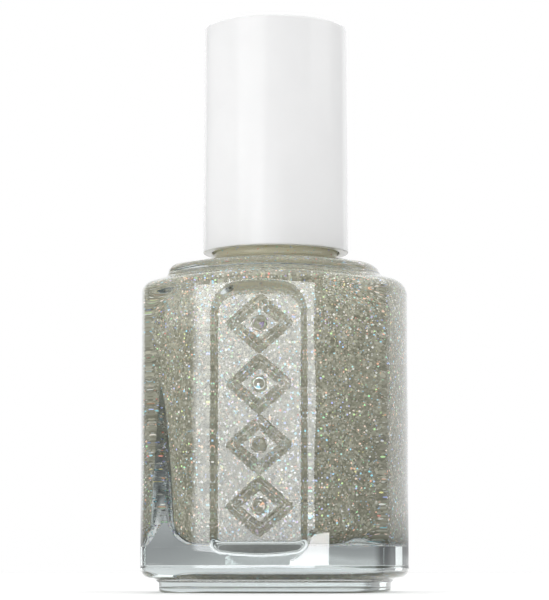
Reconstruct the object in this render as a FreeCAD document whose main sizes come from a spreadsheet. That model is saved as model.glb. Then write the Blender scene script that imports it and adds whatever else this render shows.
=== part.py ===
import FreeCAD, Part
import math
import os
import Sketcher

# Nail polish bottle: a square, thick-walled glass bottle with a threaded neck, its fill of glitter
# polish, and a tall cap that carries the brush.
# Millimetres, +Z up. The origin is the centre of the foot, on the surface that the bottle stands on.
# The front of the bottle, with the sunk panel, faces -Y.

# ---------------------------------------------------------------- driving dimensions
TOTAL_HEIGHT = 72.0
BODY_WIDTH = 33.3
GLASS_WALL = 4.2
HEEL_STEP = 1.5
CAP_WIDTH = 18.5
NECK_THREAD_WIDTH = 13.0
REST_GAP = 0.01
SLIP_GAP = 0.02
TURN_GAP = 0.08
PANEL_DEPTH = 1.1
PANEL_SLOPE_RUN = 1.8
TIER_STEP = 3.35
FOOT_STEP = 2.25
CORNER_STEP = 1.0
THREAD_DEPTH = 0.75
CAP_TAPER = 0.14
OVERCUT = 0.5

D = {}

# Outer form: a foot, the body above it, and a lower tier that steps in under the neck.
D["body_width"] = BODY_WIDTH
D["body_bow"] = 38.0
D["body_corner"] = 5.8
D["body_low"] = 1.8
D["body_face_top"] = 38.6
D["body_dome"] = 51.0
D["body_round_top"] = 1.1
D["body_round_low"] = 1.2
D["tier_width"] = BODY_WIDTH - 2 * TIER_STEP
D["tier_bow"] = D["body_bow"]
D["tier_corner"] = D["body_corner"] - CORNER_STEP
D["tier_low"] = 30.0
D["tier_face_top"] = 40.8
D["tier_stock"] = 20.8
D["tier_dome"] = 66.0
D["tier_round_top"] = 1.0
D["foot_width"] = BODY_WIDTH - 2 * FOOT_STEP
D["foot_bow"] = D["body_bow"]
D["foot_corner"] = D["body_corner"] - CORNER_STEP
D["foot_height"] = 6.0
D["foot_round_low"] = 0.6

# Inside: a rounded square chamber that narrows towards its thick floor, a throat that narrows
# through the shoulder, and a round bore up through the neck.
D["chamber_width"] = BODY_WIDTH - 2 * GLASS_WALL
D["chamber_bow"] = D["body_bow"]
D["chamber_corner"] = 6.5
D["chamber_low"] = 5.8
D["chamber_face_top"] = 37.3
D["chamber_dome"] = 30.0
D["chamber_round_top"] = 3.0
D["heel_width"] = D["chamber_width"] - 2 * HEEL_STEP
D["heel_bow"] = D["chamber_bow"] - HEEL_STEP
D["heel_corner"] = D["chamber_corner"] - HEEL_STEP
D["heel_round_low"] = 2.9
D["heel_top"] = 31.0
D["bore_radius"] = 3.7
D["throat_wide"] = 9.0
D["throat_low"] = 30.0
D["throat_shoulder"] = 38.6
D["throat_radius"] = 5.3
D["throat_waist"] = 41.4
D["throat_top"] = 43.3
D["throat_end"] = 44.9
D["label_well_radius"] = 10.0
D["label_well_depth"] = 0.6

# Neck finish: a collar under the cap, a plain neck, and about two turns of thread.
D["collar_radius"] = 7.85
D["collar_top"] = 44.2
D["neck_low"] = 36.0
D["neck_radius"] = NECK_THREAD_WIDTH / 2 - THREAD_DEPTH
D["neck_top"] = 54.0
D["rim_round"] = 0.5
D["collar_round"] = 0.3
D["thread_pitch"] = 2.12
D["thread_low"] = 46.6
D["thread_rise"] = 2 * D["thread_pitch"]
D["thread_crest"] = NECK_THREAD_WIDTH / 2
D["thread_root_half"] = 0.62
D["thread_crest_half"] = 0.22
D["thread_bite"] = 0.2

# Sunk front panel with sloping sides, and a plain moulded column of lozenges on its floor.
D["panel_floor_out"] = BODY_WIDTH / 2 - PANEL_DEPTH
D["panel_mouth_out"] = BODY_WIDTH / 2 + OVERCUT
D["floor_half"] = 5.15
D["floor_low"] = 5.95
D["floor_top"] = 36.15
D["floor_corner_top"] = 2.4
D["floor_corner_low"] = 0.7
D["floor_arch"] = D["body_dome"]
D["mouth_half"] = D["floor_half"] + PANEL_SLOPE_RUN
D["mouth_low"] = D["floor_low"] - PANEL_SLOPE_RUN
D["mouth_top"] = D["floor_top"] + PANEL_SLOPE_RUN
D["mouth_corner_top"] = D["floor_corner_top"] + PANEL_SLOPE_RUN
D["mouth_corner_low"] = D["floor_corner_low"] + PANEL_SLOPE_RUN
D["mouth_arch"] = D["floor_arch"] + PANEL_SLOPE_RUN
D["lozenge_half_width"] = 4.0
D["lozenge_half_height"] = 3.5
D["lozenge_line"] = 1.4
D["lozenge_relief"] = 0.4
D["lozenge_bevel"] = 0.24
D["lozenge_root"] = 0.2
D["lozenge_count"] = 4
D["lozenge_pitch"] = 7.3
D["lozenge_first"] = 10.4
D["stud_radius"] = 0.85

# Polish: fills the chamber up into the throat, with room for the brush to pass and for the balls.
D["fill_width"] = D["chamber_width"] - 2 * SLIP_GAP
D["fill_bow"] = D["body_bow"]
D["fill_corner"] = D["chamber_corner"] - SLIP_GAP
D["fill_low"] = D["chamber_low"] + SLIP_GAP
D["fill_face_top"] = D["chamber_face_top"] - SLIP_GAP
D["fill_dome"] = D["chamber_dome"]
D["fill_round_top"] = D["chamber_round_top"]
D["fill_heel_width"] = D["heel_width"] - 2 * SLIP_GAP
D["fill_heel_bow"] = D["heel_bow"]
D["fill_heel_corner"] = D["heel_corner"] - SLIP_GAP
D["fill_heel_round_low"] = D["heel_round_low"]
D["fill_level"] = D["throat_top"] - SLIP_GAP
D["fill_throat_wide"] = D["throat_wide"] - SLIP_GAP
D["fill_throat_radius"] = D["throat_radius"] - SLIP_GAP
D["brush_way_radius"] = 2.75
D["brush_way_low"] = 7.4
D["ball_radius"] = 2.0
D["ball_room"] = D["ball_radius"] + 0.05
D["ball_height"] = D["chamber_low"] + D["ball_radius"] + REST_GAP

# Blank paper label in the well under the foot.
D["label_radius"] = 9.2
D["label_thick"] = 0.12
D["label_low"] = D["label_well_depth"] - D["label_thick"] - REST_GAP

# Overcap: a tall, slightly tapering shell with stop ribs inside.
D["cap_low"] = 42.8
D["cap_top"] = TOTAL_HEIGHT
D["cap_radius_low"] = CAP_WIDTH / 2
D["cap_radius_top"] = CAP_WIDTH / 2 - CAP_TAPER
D["cap_inside"] = 8.1
D["cap_crown"] = 1.6
D["cap_round_top"] = 0.5
D["cap_round_low"] = 0.15
D["rib_inner"] = 5.6
D["rib_outer"] = D["cap_inside"] + 0.4
D["rib_root"] = 0.28
D["rib_half"] = 0.5
D["rib_count"] = 6

# Brush flange and seal: the flange lies on the rim, and the plug under it fills the bore.
D["flange_low"] = D["neck_top"] + SLIP_GAP
D["flange_thick"] = 0.9
D["flange_top"] = D["flange_low"] + D["flange_thick"]
D["flange_radius"] = 5.5
D["seal_radius"] = D["bore_radius"] - 0.2
D["seal_low"] = D["neck_top"] - 2.4
D["seal_taper"] = 1.0

# Inner closure: the threaded part that turns on the neck and grips the brush.
D["closure_low"] = 44.7
D["closure_top"] = 57.6
D["closure_radius"] = 7.6
D["closure_bore"] = 7.0
D["closure_ceiling"] = D["flange_top"] + 0.03
D["closure_crest"] = D["thread_crest"] + TURN_GAP
D["socket_radius"] = 2.66
D["socket_top"] = 57.0
D["knurl_root"] = D["closure_radius"] - 0.2
D["knurl_reach"] = D["cap_inside"] - SLIP_GAP
D["knurl_half"] = 0.4
D["knurl_count"] = 24
D["knurl_low"] = 45.3
D["rib_low"] = D["closure_top"] + SLIP_GAP
D["rib_tall"] = D["cap_top"] - D["cap_crown"] - D["rib_low"] + D["rib_root"]

# Brush: a moulded stem with a head for the socket, a staple, and a flat tuft of filaments.
D["head_radius"] = D["socket_radius"] - 0.06
D["head_top"] = D["socket_top"] - 0.1
D["stem_radius_top"] = 2.3
D["stem_radius_low"] = 1.75
D["stem_low"] = 22.8
D["tuft_hole_radius"] = 1.25
D["tuft_hole_top"] = 26.6
D["tuft_root_run"] = 0.1
D["tuft_root_radius"] = D["tuft_hole_radius"] - D["tuft_root_run"] - SLIP_GAP
D["tuft_root_top"] = D["tuft_hole_top"] - 0.1
D["tuft_waist_run"] = 1.15
D["tuft_waist_radius"] = 0.95
D["tuft_waist"] = 13.5
D["tuft_tip_run"] = 0.95
D["tuft_tip_radius"] = 0.8
D["tuft_low"] = 8.4
D["staple_half_width"] = 0.95
D["staple_half_thick"] = 0.2
D["staple_low"] = 23.6
D["staple_tall"] = 1.8
D["staple_room"] = 0.02

BALL_PLACES = ((-5.6, 5.8), (4.4, 6.7))
FULL_TURN = 360.0
STOCK = 30.0
SLACK = 0.01

doc = FreeCAD.newDocument("nail_polish_bottle")
sheet = doc.addObject("Spreadsheet::Sheet", "dims")
for row, (alias, number) in enumerate(D.items(), start=1):
    sheet.set(f"A{row}", alias)
    sheet.set(f"B{row}", repr(round(number, 6)))
    sheet.setAlias(f"B{row}", alias)
doc.recompute()


# ---------------------------------------------------------------- helpers
def new_body(name):
    body = doc.addObject("PartDesign::Body", name)
    body.Label = name
    return body


def origin_plane(body, role):
    return next(item for item in body.Origin.OriginFeatures if item.Role == role)


def new_sketch(body, name, role="XY_Plane", offset=None):
    """A sketch on one of the body's own origin planes, moved along the plane's normal."""
    sketch = body.newObject("Sketcher::SketchObject", name)
    sketch.AttachmentSupport = [(origin_plane(body, role), "")]
    sketch.MapMode = "FlatFace"
    if offset:
        sketch.setExpression("AttachmentOffset.Base.z", offset)
    return sketch


def worth(sketch, text):
    """Present value of an expression, as a plain number."""
    found = sketch.evalExpression(text) if text else 0.0
    return float(getattr(found, "Value", found))


def size(sketch, kind, *where, to):
    """Add a dimension to a sketch and bind it to an expression."""
    index = sketch.addConstraint(Sketcher.Constraint(kind, *where, worth(sketch, to)))
    sketch.setExpression(f"Constraints[{index}]", to)


def arc(centre, radius, start, end):
    circle = Part.Circle(FreeCAD.Vector(centre[0], centre[1], 0), FreeCAD.Vector(0, 0, 1), radius)
    return Part.ArcOfCircle(circle, math.radians(start), math.radians(end))


def line(start, end):
    return Part.LineSegment(FreeCAD.Vector(start[0], start[1], 0), FreeCAD.Vector(end[0], end[1], 0))


def close_up(sketch, chain, kinds):
    """Join the chain's pieces end to start; kinds says whether each joint is a corner or smooth."""
    for index, kind in enumerate(kinds):
        following = chain[(index + 1) % len(chain)]
        sketch.addConstraint(Sketcher.Constraint(kind, chain[index], 2, following, 1))


def bowed_square(sketch, key):
    """Outline with four slightly bowed sides and rounded corners, centred on the axis."""
    bow, corner, half = D[f"{key}_bow"], D[f"{key}_corner"], D[f"{key}_width"] / 2
    centre = half - bow
    reach = bow - corner
    pivot = (centre + math.sqrt(2 * reach ** 2 - centre ** 2)) / 2
    lean = math.degrees(math.atan2(pivot, pivot - centre))
    chain = []
    for turn in (0, 90, 180, 270):
        cos, sin = round(math.cos(math.radians(turn))), round(math.sin(math.radians(turn)))
        side = arc((centre * cos, centre * sin), bow, turn - lean, turn + lean)
        middle = (pivot * cos - pivot * sin, pivot * sin + pivot * cos)
        turned = arc(middle, corner, turn + lean, turn + 90 - lean)
        chain += [sketch.addGeometry(side), sketch.addGeometry(turned)]
    close_up(sketch, chain, ["Tangent"] * len(chain))
    for axis, first, second in (("X", chain[0], chain[4]), ("Y", chain[2], chain[6])):
        inset = f"dims.{key}_bow - dims.{key}_width / 2"
        size(sketch, f"Distance{axis}", first, 3, -1, 1, to=inset)
        size(sketch, f"Distance{axis}", -1, 1, second, 3, to=inset)
    for index in (0, 4):
        sketch.addConstraint(Sketcher.Constraint("PointOnObject", chain[index], 3, -1))
        sketch.addConstraint(Sketcher.Constraint("PointOnObject", chain[index + 2], 3, -2))
    for index in range(0, 8, 2):
        size(sketch, "Radius", chain[index], to=f"dims.{key}_bow")
        size(sketch, "Radius", chain[index + 1], to=f"dims.{key}_corner")


def polygon(sketch, points):
    """Closed outline; each point is a pair of expressions, or 0 on an axis."""
    numbers = [[worth(sketch, text) for text in point] for point in points]
    chain = []
    for index, start in enumerate(numbers):
        chain.append(sketch.addGeometry(line(start, numbers[(index + 1) % len(numbers)])))
    close_up(sketch, chain, ["Coincident"] * len(chain))
    for index, (across, up) in enumerate(points):
        for kind, text, number, axis in (("DistanceX", across, numbers[index][0], -2),
                                         ("DistanceY", up, numbers[index][1], -1)):
            if not text:
                sketch.addConstraint(Sketcher.Constraint("PointOnObject", chain[index], 1, axis))
            elif number < 0:
                size(sketch, kind, chain[index], 1, -1, 1, to=f"-({text})")
            else:
                size(sketch, kind, -1, 1, chain[index], 1, to=text)
    return chain


def extrude(body, sketch, name, length):
    pad = body.newObject("PartDesign::Pad", name)
    pad.Profile = sketch
    pad.setExpression("Length", length)
    return pad


def revolve(body, sketch, name, kind="PartDesign::Revolution"):
    turned = body.newObject(kind, name)
    turned.Profile = sketch
    turned.ReferenceAxis = (sketch, ["V_Axis"])
    turned.Angle = FULL_TURN
    return turned


def dome_off(body, key, name):
    """Cut away what stands above a shallow dome that meets the middle of each side at face_top."""
    sketch = new_sketch(body, f"{name}_profile", "XZ_Plane")
    radius, half = D[f"{key}_dome"], D[f"{key}_width"] / 2
    centre_height = D[f"{key}_face_top"] - math.sqrt(radius ** 2 - half ** 2)
    reach = D[f"{key}_width"]
    side = math.sqrt(radius ** 2 - reach ** 2) + centre_height
    roof = centre_height + radius + STOCK
    end = math.degrees(math.atan2(side - centre_height, reach))
    bend = sketch.addGeometry(arc((0, centre_height), radius, end, 90))
    down = sketch.addGeometry(line((0, centre_height + radius), (0, roof)))
    across = sketch.addGeometry(line((0, roof), (reach, roof)))
    up = sketch.addGeometry(line((reach, roof), (reach, side)))
    close_up(sketch, [bend, down, across, up], ["Coincident"] * 4)
    sketch.addConstraint(Sketcher.Constraint("PointOnObject", bend, 3, -2))
    sketch.addConstraint(Sketcher.Constraint("PointOnObject", bend, 2, -2))
    sketch.addConstraint(Sketcher.Constraint("PointOnObject", down, 2, -2))
    sketch.addConstraint(Sketcher.Constraint("Horizontal", across))
    sketch.addConstraint(Sketcher.Constraint("Vertical", up))
    size(sketch, "Radius", bend, to=f"dims.{key}_dome")
    apex = f"dims.{key}_face_top + dims.{key}_dome - sqrt(dims.{key}_dome^2 - (dims.{key}_width / 2)^2)"
    size(sketch, "DistanceY", -1, 1, bend, 2, to=apex)
    size(sketch, "DistanceX", -1, 1, across, 2, to=f"dims.{key}_width")
    size(sketch, "DistanceY", -1, 1, across, 2, to=f"{apex} + {STOCK}")
    return revolve(body, sketch, name, "PartDesign::Groove")


def edges_between(shape, low, high):
    """Names of the edges that lie wholly between two heights."""
    boxes = [edge.BoundBox for edge in shape.Edges]
    inside = [box.ZMin >= low and box.ZMax <= high for box in boxes]
    return [f"Edge{index}" for index, kept in enumerate(inside, start=1) if kept]


def round_edges(body, name, low, high, radius):
    """Fillet the edges of the body that lie between two heights."""
    doc.recompute()
    base = body.Tip
    names = edges_between(body.Shape, low, high)
    fillet = body.newObject("PartDesign::Fillet", name)
    fillet.Base = (base, names)
    fillet.setExpression("Radius", radius)
    doc.recompute()


def square_block(name, key, low, height):
    """Bowed-square block under a shallow dome, its top edges rounded, and its low ones if asked."""
    body = new_body(name)
    plan = new_sketch(body, f"{name}_plan", "XY_Plane", low)
    bowed_square(plan, key)
    extrude(body, plan, f"{name}_stock", height)
    if f"{key}_dome" in D:
        dome_off(body, key, f"{name}_dome")
    doc.recompute()
    base = body.Shape.BoundBox.ZMin
    if f"{key}_round_top" in D:
        round_edges(body, f"{name}_top_round", base + SLACK, base + 2 * STOCK, f"dims.{key}_round_top")
    if f"{key}_round_low" in D:
        round_edges(body, f"{name}_low_round", base - SLACK, base + SLACK, f"dims.{key}_round_low")
    return body


def hollow_form(name, key, heel, low):
    """Form of the inside: straight above the heel, and tapering down from there to the floor."""
    upper = square_block(f"{name}_upper", key, "dims.heel_top", f"dims.{key}_face_top")
    body = new_body(f"{name}_lower")
    mouth = new_sketch(body, f"{name}_mouth", "XY_Plane", "dims.heel_top")
    bowed_square(mouth, key)
    floor = new_sketch(body, f"{name}_floor", "XY_Plane", low)
    bowed_square(floor, heel)
    loft = body.newObject("PartDesign::AdditiveLoft", f"{name}_taper")
    loft.Profile = mouth
    loft.Sections = [floor]
    loft.Ruled = True
    doc.recompute()
    base = body.Shape.BoundBox.ZMin
    round_edges(body, f"{name}_low_round", base - SLACK, base + SLACK, f"dims.{heel}_round_low")
    return fuse(name, [upper, body])


def turned_body(name, points):
    """Body of revolution about the vertical axis from a half-section polygon."""
    body = new_body(name)
    sketch = new_sketch(body, f"{name}_section", "XZ_Plane")
    polygon(sketch, points)
    revolve(body, sketch, f"{name}_turned")
    return body


def rod(name, radius, low, height):
    """Plain cylinder on the vertical axis."""
    cylinder = doc.addObject("Part::Cylinder", name)
    cylinder.setExpression("Radius", radius)
    cylinder.setExpression("Height", height)
    cylinder.setExpression("Placement.Base.z", low)
    return cylinder


def cut(name, base, tools):
    """Base less the tools, as one Part feature."""
    tool = tools[0]
    if len(tools) > 1:
        tool = doc.addObject("Part::MultiFuse", f"{name}_tools")
        tool.Shapes = tools
    result = doc.addObject("Part::Cut", name)
    result.Base = base
    result.Tool = tool
    result.Label = name
    return result


def fuse(name, shapes):
    """Several shapes made one."""
    result = doc.addObject("Part::MultiFuse", name)
    result.Shapes = shapes
    result.Label = name
    return result


def helix_ridge(body, name, points, height):
    """Screw thread of the given section, wound up the vertical axis."""
    sketch = new_sketch(body, f"{name}_section", "XZ_Plane")
    polygon(sketch, points)
    ridge = body.newObject("PartDesign::AdditiveHelix", name)
    ridge.Profile = sketch
    ridge.ReferenceAxis = (sketch, ["V_Axis"])
    ridge.Mode = "pitch-height-angle"
    ridge.setExpression("Pitch", "dims.thread_pitch")
    ridge.setExpression("Height", height)
    doc.recompute()


def ribs_round(body, name, inner, outer, half, low, height, count):
    """Straight upright ribs, evenly spaced round the axis."""
    sketch = new_sketch(body, f"{name}_plan", "XY_Plane", low)
    polygon(sketch, ((inner, f"-{half}"), (outer, f"-{half}"), (outer, half), (inner, half)))
    rib = extrude(body, sketch, f"{name}_rib", height)
    doc.recompute()
    pattern = body.newObject("PartDesign::PolarPattern", f"{name}_round")
    pattern.Originals = [rib]
    pattern.Axis = (sketch, ["N_Axis"])
    pattern.Angle = FULL_TURN
    pattern.setExpression("Occurrences", count)
    body.Tip = pattern
    doc.recompute()


# ---------------------------------------------------------------- glass bottle
def panel_outline(sketch, key):
    """Upright panel outline: straight sides and floor, an arched top and rounded corners."""
    half, low, top = D[f"{key}_half"], D[f"{key}_low"], D[f"{key}_top"]
    upper, lower, arch = D[f"{key}_corner_top"], D[f"{key}_corner_low"], D[f"{key}_arch"]
    lean = math.degrees(math.asin((half - upper) / (arch - upper)))
    crown_centre = top - arch
    shoulder = crown_centre + math.sqrt((arch - upper) ** 2 - (half - upper) ** 2)
    pieces = (
        line((lower - half, low), (half - lower, low)),
        arc((half - lower, low + lower), lower, -90, 0),
        line((half, low + lower), (half, shoulder)),
        arc((half - upper, shoulder), upper, 0, 90 - lean),
        arc((0, crown_centre), arch, 90 - lean, 90 + lean),
        arc((upper - half, shoulder), upper, 90 + lean, 180),
        line((-half, shoulder), (-half, low + lower)),
        arc((lower - half, low + lower), lower, 180, 270),
    )
    chain = [sketch.addGeometry(piece) for piece in pieces]
    close_up(sketch, chain, ["Tangent"] * len(chain))
    floor, low_right, right, top_right, crown, top_left, left, low_left = chain
    sketch.addConstraint(Sketcher.Constraint("PointOnObject", crown, 3, -2))
    size(sketch, "DistanceX", -1, 1, right, 1, to=f"dims.{key}_half")
    size(sketch, "DistanceX", left, 1, -1, 1, to=f"dims.{key}_half")
    size(sketch, "DistanceX", -1, 1, right, 2, to=f"dims.{key}_half")
    size(sketch, "DistanceX", left, 2, -1, 1, to=f"dims.{key}_half")
    size(sketch, "DistanceY", -1, 1, floor, 1, to=f"dims.{key}_low")
    size(sketch, "DistanceY", -1, 1, floor, 2, to=f"dims.{key}_low")
    size(sketch, "Radius", crown, to=f"dims.{key}_arch")
    size(sketch, "DistanceY", crown, 3, -1, 1, to=f"dims.{key}_arch - dims.{key}_top")
    for corner in (top_right, top_left):
        size(sketch, "Radius", corner, to=f"dims.{key}_corner_top")
    for corner in (low_right, low_left):
        size(sketch, "Radius", corner, to=f"dims.{key}_corner_low")


def panel_form():
    """The sunk panel's hollow, flaring from its floor to past the front face."""
    body = new_body("panel_form")
    floor = new_sketch(body, "panel_floor", "XZ_Plane", "dims.panel_floor_out")
    panel_outline(floor, "floor")
    mouth = new_sketch(body, "panel_mouth", "XZ_Plane", "dims.panel_mouth_out")
    panel_outline(mouth, "mouth")
    loft = body.newObject("PartDesign::AdditiveLoft", "panel_hollow")
    loft.Profile = floor
    loft.Sections = [mouth]
    loft.Ruled = True
    doc.recompute()
    return body


def lozenge(sketch, across, up):
    """One lozenge outline centred on the first place of the column."""
    centre = "dims.lozenge_first"
    corners = ((0, f"{centre} - {up}"), (across, centre), (0, f"{centre} + {up}"), (f"-({across})", centre))
    polygon(sketch, corners)


def lozenge_column():
    """Raised lozenge outlines, each with a stud in the middle, standing on the panel's floor."""
    body = new_body("lozenge_column")
    rings = new_sketch(body, "lozenge_rings", "XZ_Plane", "dims.panel_floor_out - dims.lozenge_root")
    lozenge(rings, "dims.lozenge_half_width", "dims.lozenge_half_height")
    inner = [f"(dims.lozenge_half_{side} - dims.lozenge_line)" for side in ("width", "height")]
    lozenge(rings, *inner)
    middle = FreeCAD.Vector(0, D["lozenge_first"], 0)
    stud = rings.addGeometry(Part.Circle(middle, FreeCAD.Vector(0, 0, 1), D["stud_radius"]))
    rings.addConstraint(Sketcher.Constraint("PointOnObject", stud, 3, -2))
    size(rings, "DistanceY", -1, 1, stud, 3, to="dims.lozenge_first")
    size(rings, "Radius", stud, to="dims.stud_radius")
    pad = extrude(body, rings, "lozenge_pad", "dims.lozenge_relief + dims.lozenge_root")
    doc.recompute()
    column = body.newObject("PartDesign::LinearPattern", "lozenge_repeat")
    column.Originals = [pad]
    column.Direction = (rings, ["V_Axis"])
    column.setExpression("Length", "dims.lozenge_pitch * (dims.lozenge_count - 1)")
    column.setExpression("Occurrences", "dims.lozenge_count")
    body.Tip = column
    doc.recompute()
    front = body.Shape.BoundBox.YMin + SLACK
    crests = [index for index, edge in enumerate(body.Shape.Edges, start=1) if edge.BoundBox.YMax < front]
    bevel = body.newObject("PartDesign::Chamfer", "lozenge_bevel")
    bevel.Base = (column, [f"Edge{index}" for index in crests])
    bevel.setExpression("Size", "dims.lozenge_bevel")
    doc.recompute()
    return body


def neck_form():
    """Collar, plain neck with a rounded rim, and the thread."""
    body = new_body("neck_form")
    sketch = new_sketch(body, "neck_section", "XZ_Plane")
    polygon(sketch, ((0, "dims.neck_low"), ("dims.collar_radius", "dims.neck_low"),
                     ("dims.collar_radius", "dims.collar_top"), ("dims.neck_radius", "dims.collar_top"),
                     ("dims.neck_radius", "dims.neck_top"), (0, "dims.neck_top")))
    revolve(body, sketch, "neck_turned")
    top = D["neck_top"]
    round_edges(body, "neck_rim_round", top - SLACK, top + SLACK, "dims.rim_round")
    collar = D["collar_top"]
    round_edges(body, "collar_round", collar - SLACK, collar + SLACK, "dims.collar_round")
    root, crest = "dims.neck_radius - dims.thread_bite", "dims.thread_crest"
    helix_ridge(body, "neck_thread", ((root, "dims.thread_low - dims.thread_root_half"),
                                      (crest, "dims.thread_low - dims.thread_crest_half"),
                                      (crest, "dims.thread_low + dims.thread_crest_half"),
                                      (root, "dims.thread_low + dims.thread_root_half")), "dims.thread_rise")
    return body


def glass_bottle():
    """Foot, body, tier and neck in one piece of glass, hollowed by the chamber, bore and panel."""
    foot = square_block("foot_block", "foot", "0", "dims.foot_height")
    middle = square_block("body_block", "body", "dims.body_low", "dims.body_face_top")
    tier = square_block("tier_block", "tier", "dims.tier_low", "dims.tier_stock")
    sunk = cut("sunk_body", middle, [panel_form()])
    solid = fuse("glass_solid", [foot, sunk, tier, neck_form(), lozenge_column()])
    chamber = hollow_form("chamber_form", "chamber", "heel", "dims.chamber_low")
    bore = rod("bore_form", "dims.bore_radius", "dims.throat_low", "dims.neck_top")
    well_height = f"{OVERCUT} + dims.label_well_depth"
    well = rod("label_well_form", "dims.label_well_radius", f"-{OVERCUT}", well_height)
    throat = turned_body("throat_form", (
        (0, "dims.throat_low"), ("dims.throat_wide", "dims.throat_low"),
        ("dims.throat_wide", "dims.throat_shoulder"), ("dims.throat_radius", "dims.throat_waist"),
        ("dims.throat_radius", "dims.throat_top"), ("dims.bore_radius", "dims.throat_end"),
        (0, "dims.throat_end")))
    return cut("glass_bottle", solid, [chamber, throat, bore, well])


# ---------------------------------------------------------------- what the bottle holds
def mixing_balls():
    """Two steel balls that stir the polish, resting on the chamber floor."""
    group = doc.addObject("Part::Compound", "mixing_balls")
    group.Label = "mixing_balls"
    group.Links = balls("mixing_ball", "dims.ball_radius")
    return group


def balls(name, radius):
    made = []
    for index, (across, back) in enumerate(BALL_PLACES, start=1):
        ball = doc.addObject("Part::Sphere", f"{name}_{index}")
        ball.setExpression("Radius", radius)
        ball.Placement.Base = FreeCAD.Vector(across, back, 0)
        ball.setExpression("Placement.Base.z", "dims.ball_height")
        made.append(ball)
    return made


def polish_fill():
    """Polish up into the throat, with a clear way for the brush and room for the balls."""
    chamber = hollow_form("fill_block", "fill", "fill_heel", "dims.fill_low")
    throat = turned_body("fill_throat", (
        (0, "dims.throat_low"), ("dims.fill_throat_wide", "dims.throat_low"),
        ("dims.fill_throat_wide", "dims.throat_shoulder"), ("dims.fill_throat_radius", "dims.throat_waist"),
        ("dims.fill_throat_radius", "dims.fill_level"), (0, "dims.fill_level")))
    whole = fuse("fill_solid", [chamber, throat])
    way = rod("brush_way", "dims.brush_way_radius", "dims.brush_way_low", "dims.fill_level")
    return cut("polish_fill", whole, [way] + balls("ball_space", "dims.ball_room"))


def base_label():
    """Blank paper disc in the well under the foot."""
    label = rod("base_label", "dims.label_radius", "dims.label_low", "dims.label_thick")
    label.Label = "base_label"
    return label


# ---------------------------------------------------------------- closure
def outer_cap():
    """Tall tapering shell, closed at the top, with stop ribs above the inner closure."""
    body = turned_body("outer_cap", (
        ("dims.cap_inside", "dims.cap_low"), ("dims.cap_radius_low", "dims.cap_low"),
        ("dims.cap_radius_top", "dims.cap_top"), (0, "dims.cap_top"),
        (0, "dims.cap_top - dims.cap_crown"), ("dims.cap_inside", "dims.cap_top - dims.cap_crown")))
    top, low = D["cap_top"], D["cap_low"]
    round_edges(body, "cap_top_round", top - SLACK, top + SLACK, "dims.cap_round_top")
    round_edges(body, "cap_low_round", low - SLACK, low + SLACK, "dims.cap_round_low")
    ribs_round(body, "cap_stop", "dims.rib_inner", "dims.rib_outer", "dims.rib_half",
               "dims.rib_low", "dims.rib_tall", "dims.rib_count")
    return body


def inner_cap():
    """Threaded closure: a ceiling with a blind socket for the brush head, and ribs outside."""
    body = turned_body("inner_cap", (
        ("dims.closure_bore", "dims.closure_low"), ("dims.closure_radius", "dims.closure_low"),
        ("dims.closure_radius", "dims.closure_top"), (0, "dims.closure_top"), (0, "dims.socket_top"),
        ("dims.socket_radius", "dims.socket_top"), ("dims.socket_radius", "dims.closure_ceiling"),
        ("dims.closure_bore", "dims.closure_ceiling")))
    root, crest = "dims.closure_bore + dims.thread_bite", "dims.closure_crest"
    start = "dims.thread_low + dims.thread_pitch / 2"
    helix_ridge(body, "cap_thread", ((crest, f"{start} - dims.thread_crest_half"),
                                     (root, f"{start} - dims.thread_root_half"),
                                     (root, f"{start} + dims.thread_root_half"),
                                     (crest, f"{start} + dims.thread_crest_half")), "dims.thread_rise")
    ribs_round(body, "knurl", "dims.knurl_root", "dims.knurl_reach", "dims.knurl_half",
               "dims.knurl_low", "dims.closure_top - dims.knurl_low", "dims.knurl_count")
    return body


# ---------------------------------------------------------------- brush
def brush_stem():
    """Head for the socket, sealing flange, plug for the bore, and a tapering stem with a hole."""
    return turned_body("brush_stem", (
        (0, "dims.head_top"), ("dims.head_radius", "dims.head_top"), ("dims.head_radius", "dims.flange_top"),
        ("dims.flange_radius", "dims.flange_top"), ("dims.flange_radius", "dims.flange_low"),
        ("dims.seal_radius", "dims.flange_low"), ("dims.seal_radius", "dims.seal_low"),
        ("dims.stem_radius_top", "dims.seal_low - dims.seal_taper"),
        ("dims.stem_radius_low", "dims.stem_low"), ("dims.tuft_hole_radius", "dims.stem_low"),
        ("dims.tuft_hole_radius", "dims.tuft_hole_top"),
        (0, "dims.tuft_hole_top")))


def staple(name, room):
    """Flat metal staple, grown all round by the room it is given."""
    box = doc.addObject("Part::Box", name)
    box.setExpression("Length", f"2 * (dims.staple_half_width + {room})")
    box.setExpression("Width", f"2 * (dims.staple_half_thick + {room})")
    box.setExpression("Height", f"dims.staple_tall + 2 * {room}")
    box.setExpression("Placement.Base.x", f"-(dims.staple_half_width + {room})")
    box.setExpression("Placement.Base.y", f"-(dims.staple_half_thick + {room})")
    box.setExpression("Placement.Base.z", f"dims.staple_low - {room}")
    box.Label = name
    return box


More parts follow.
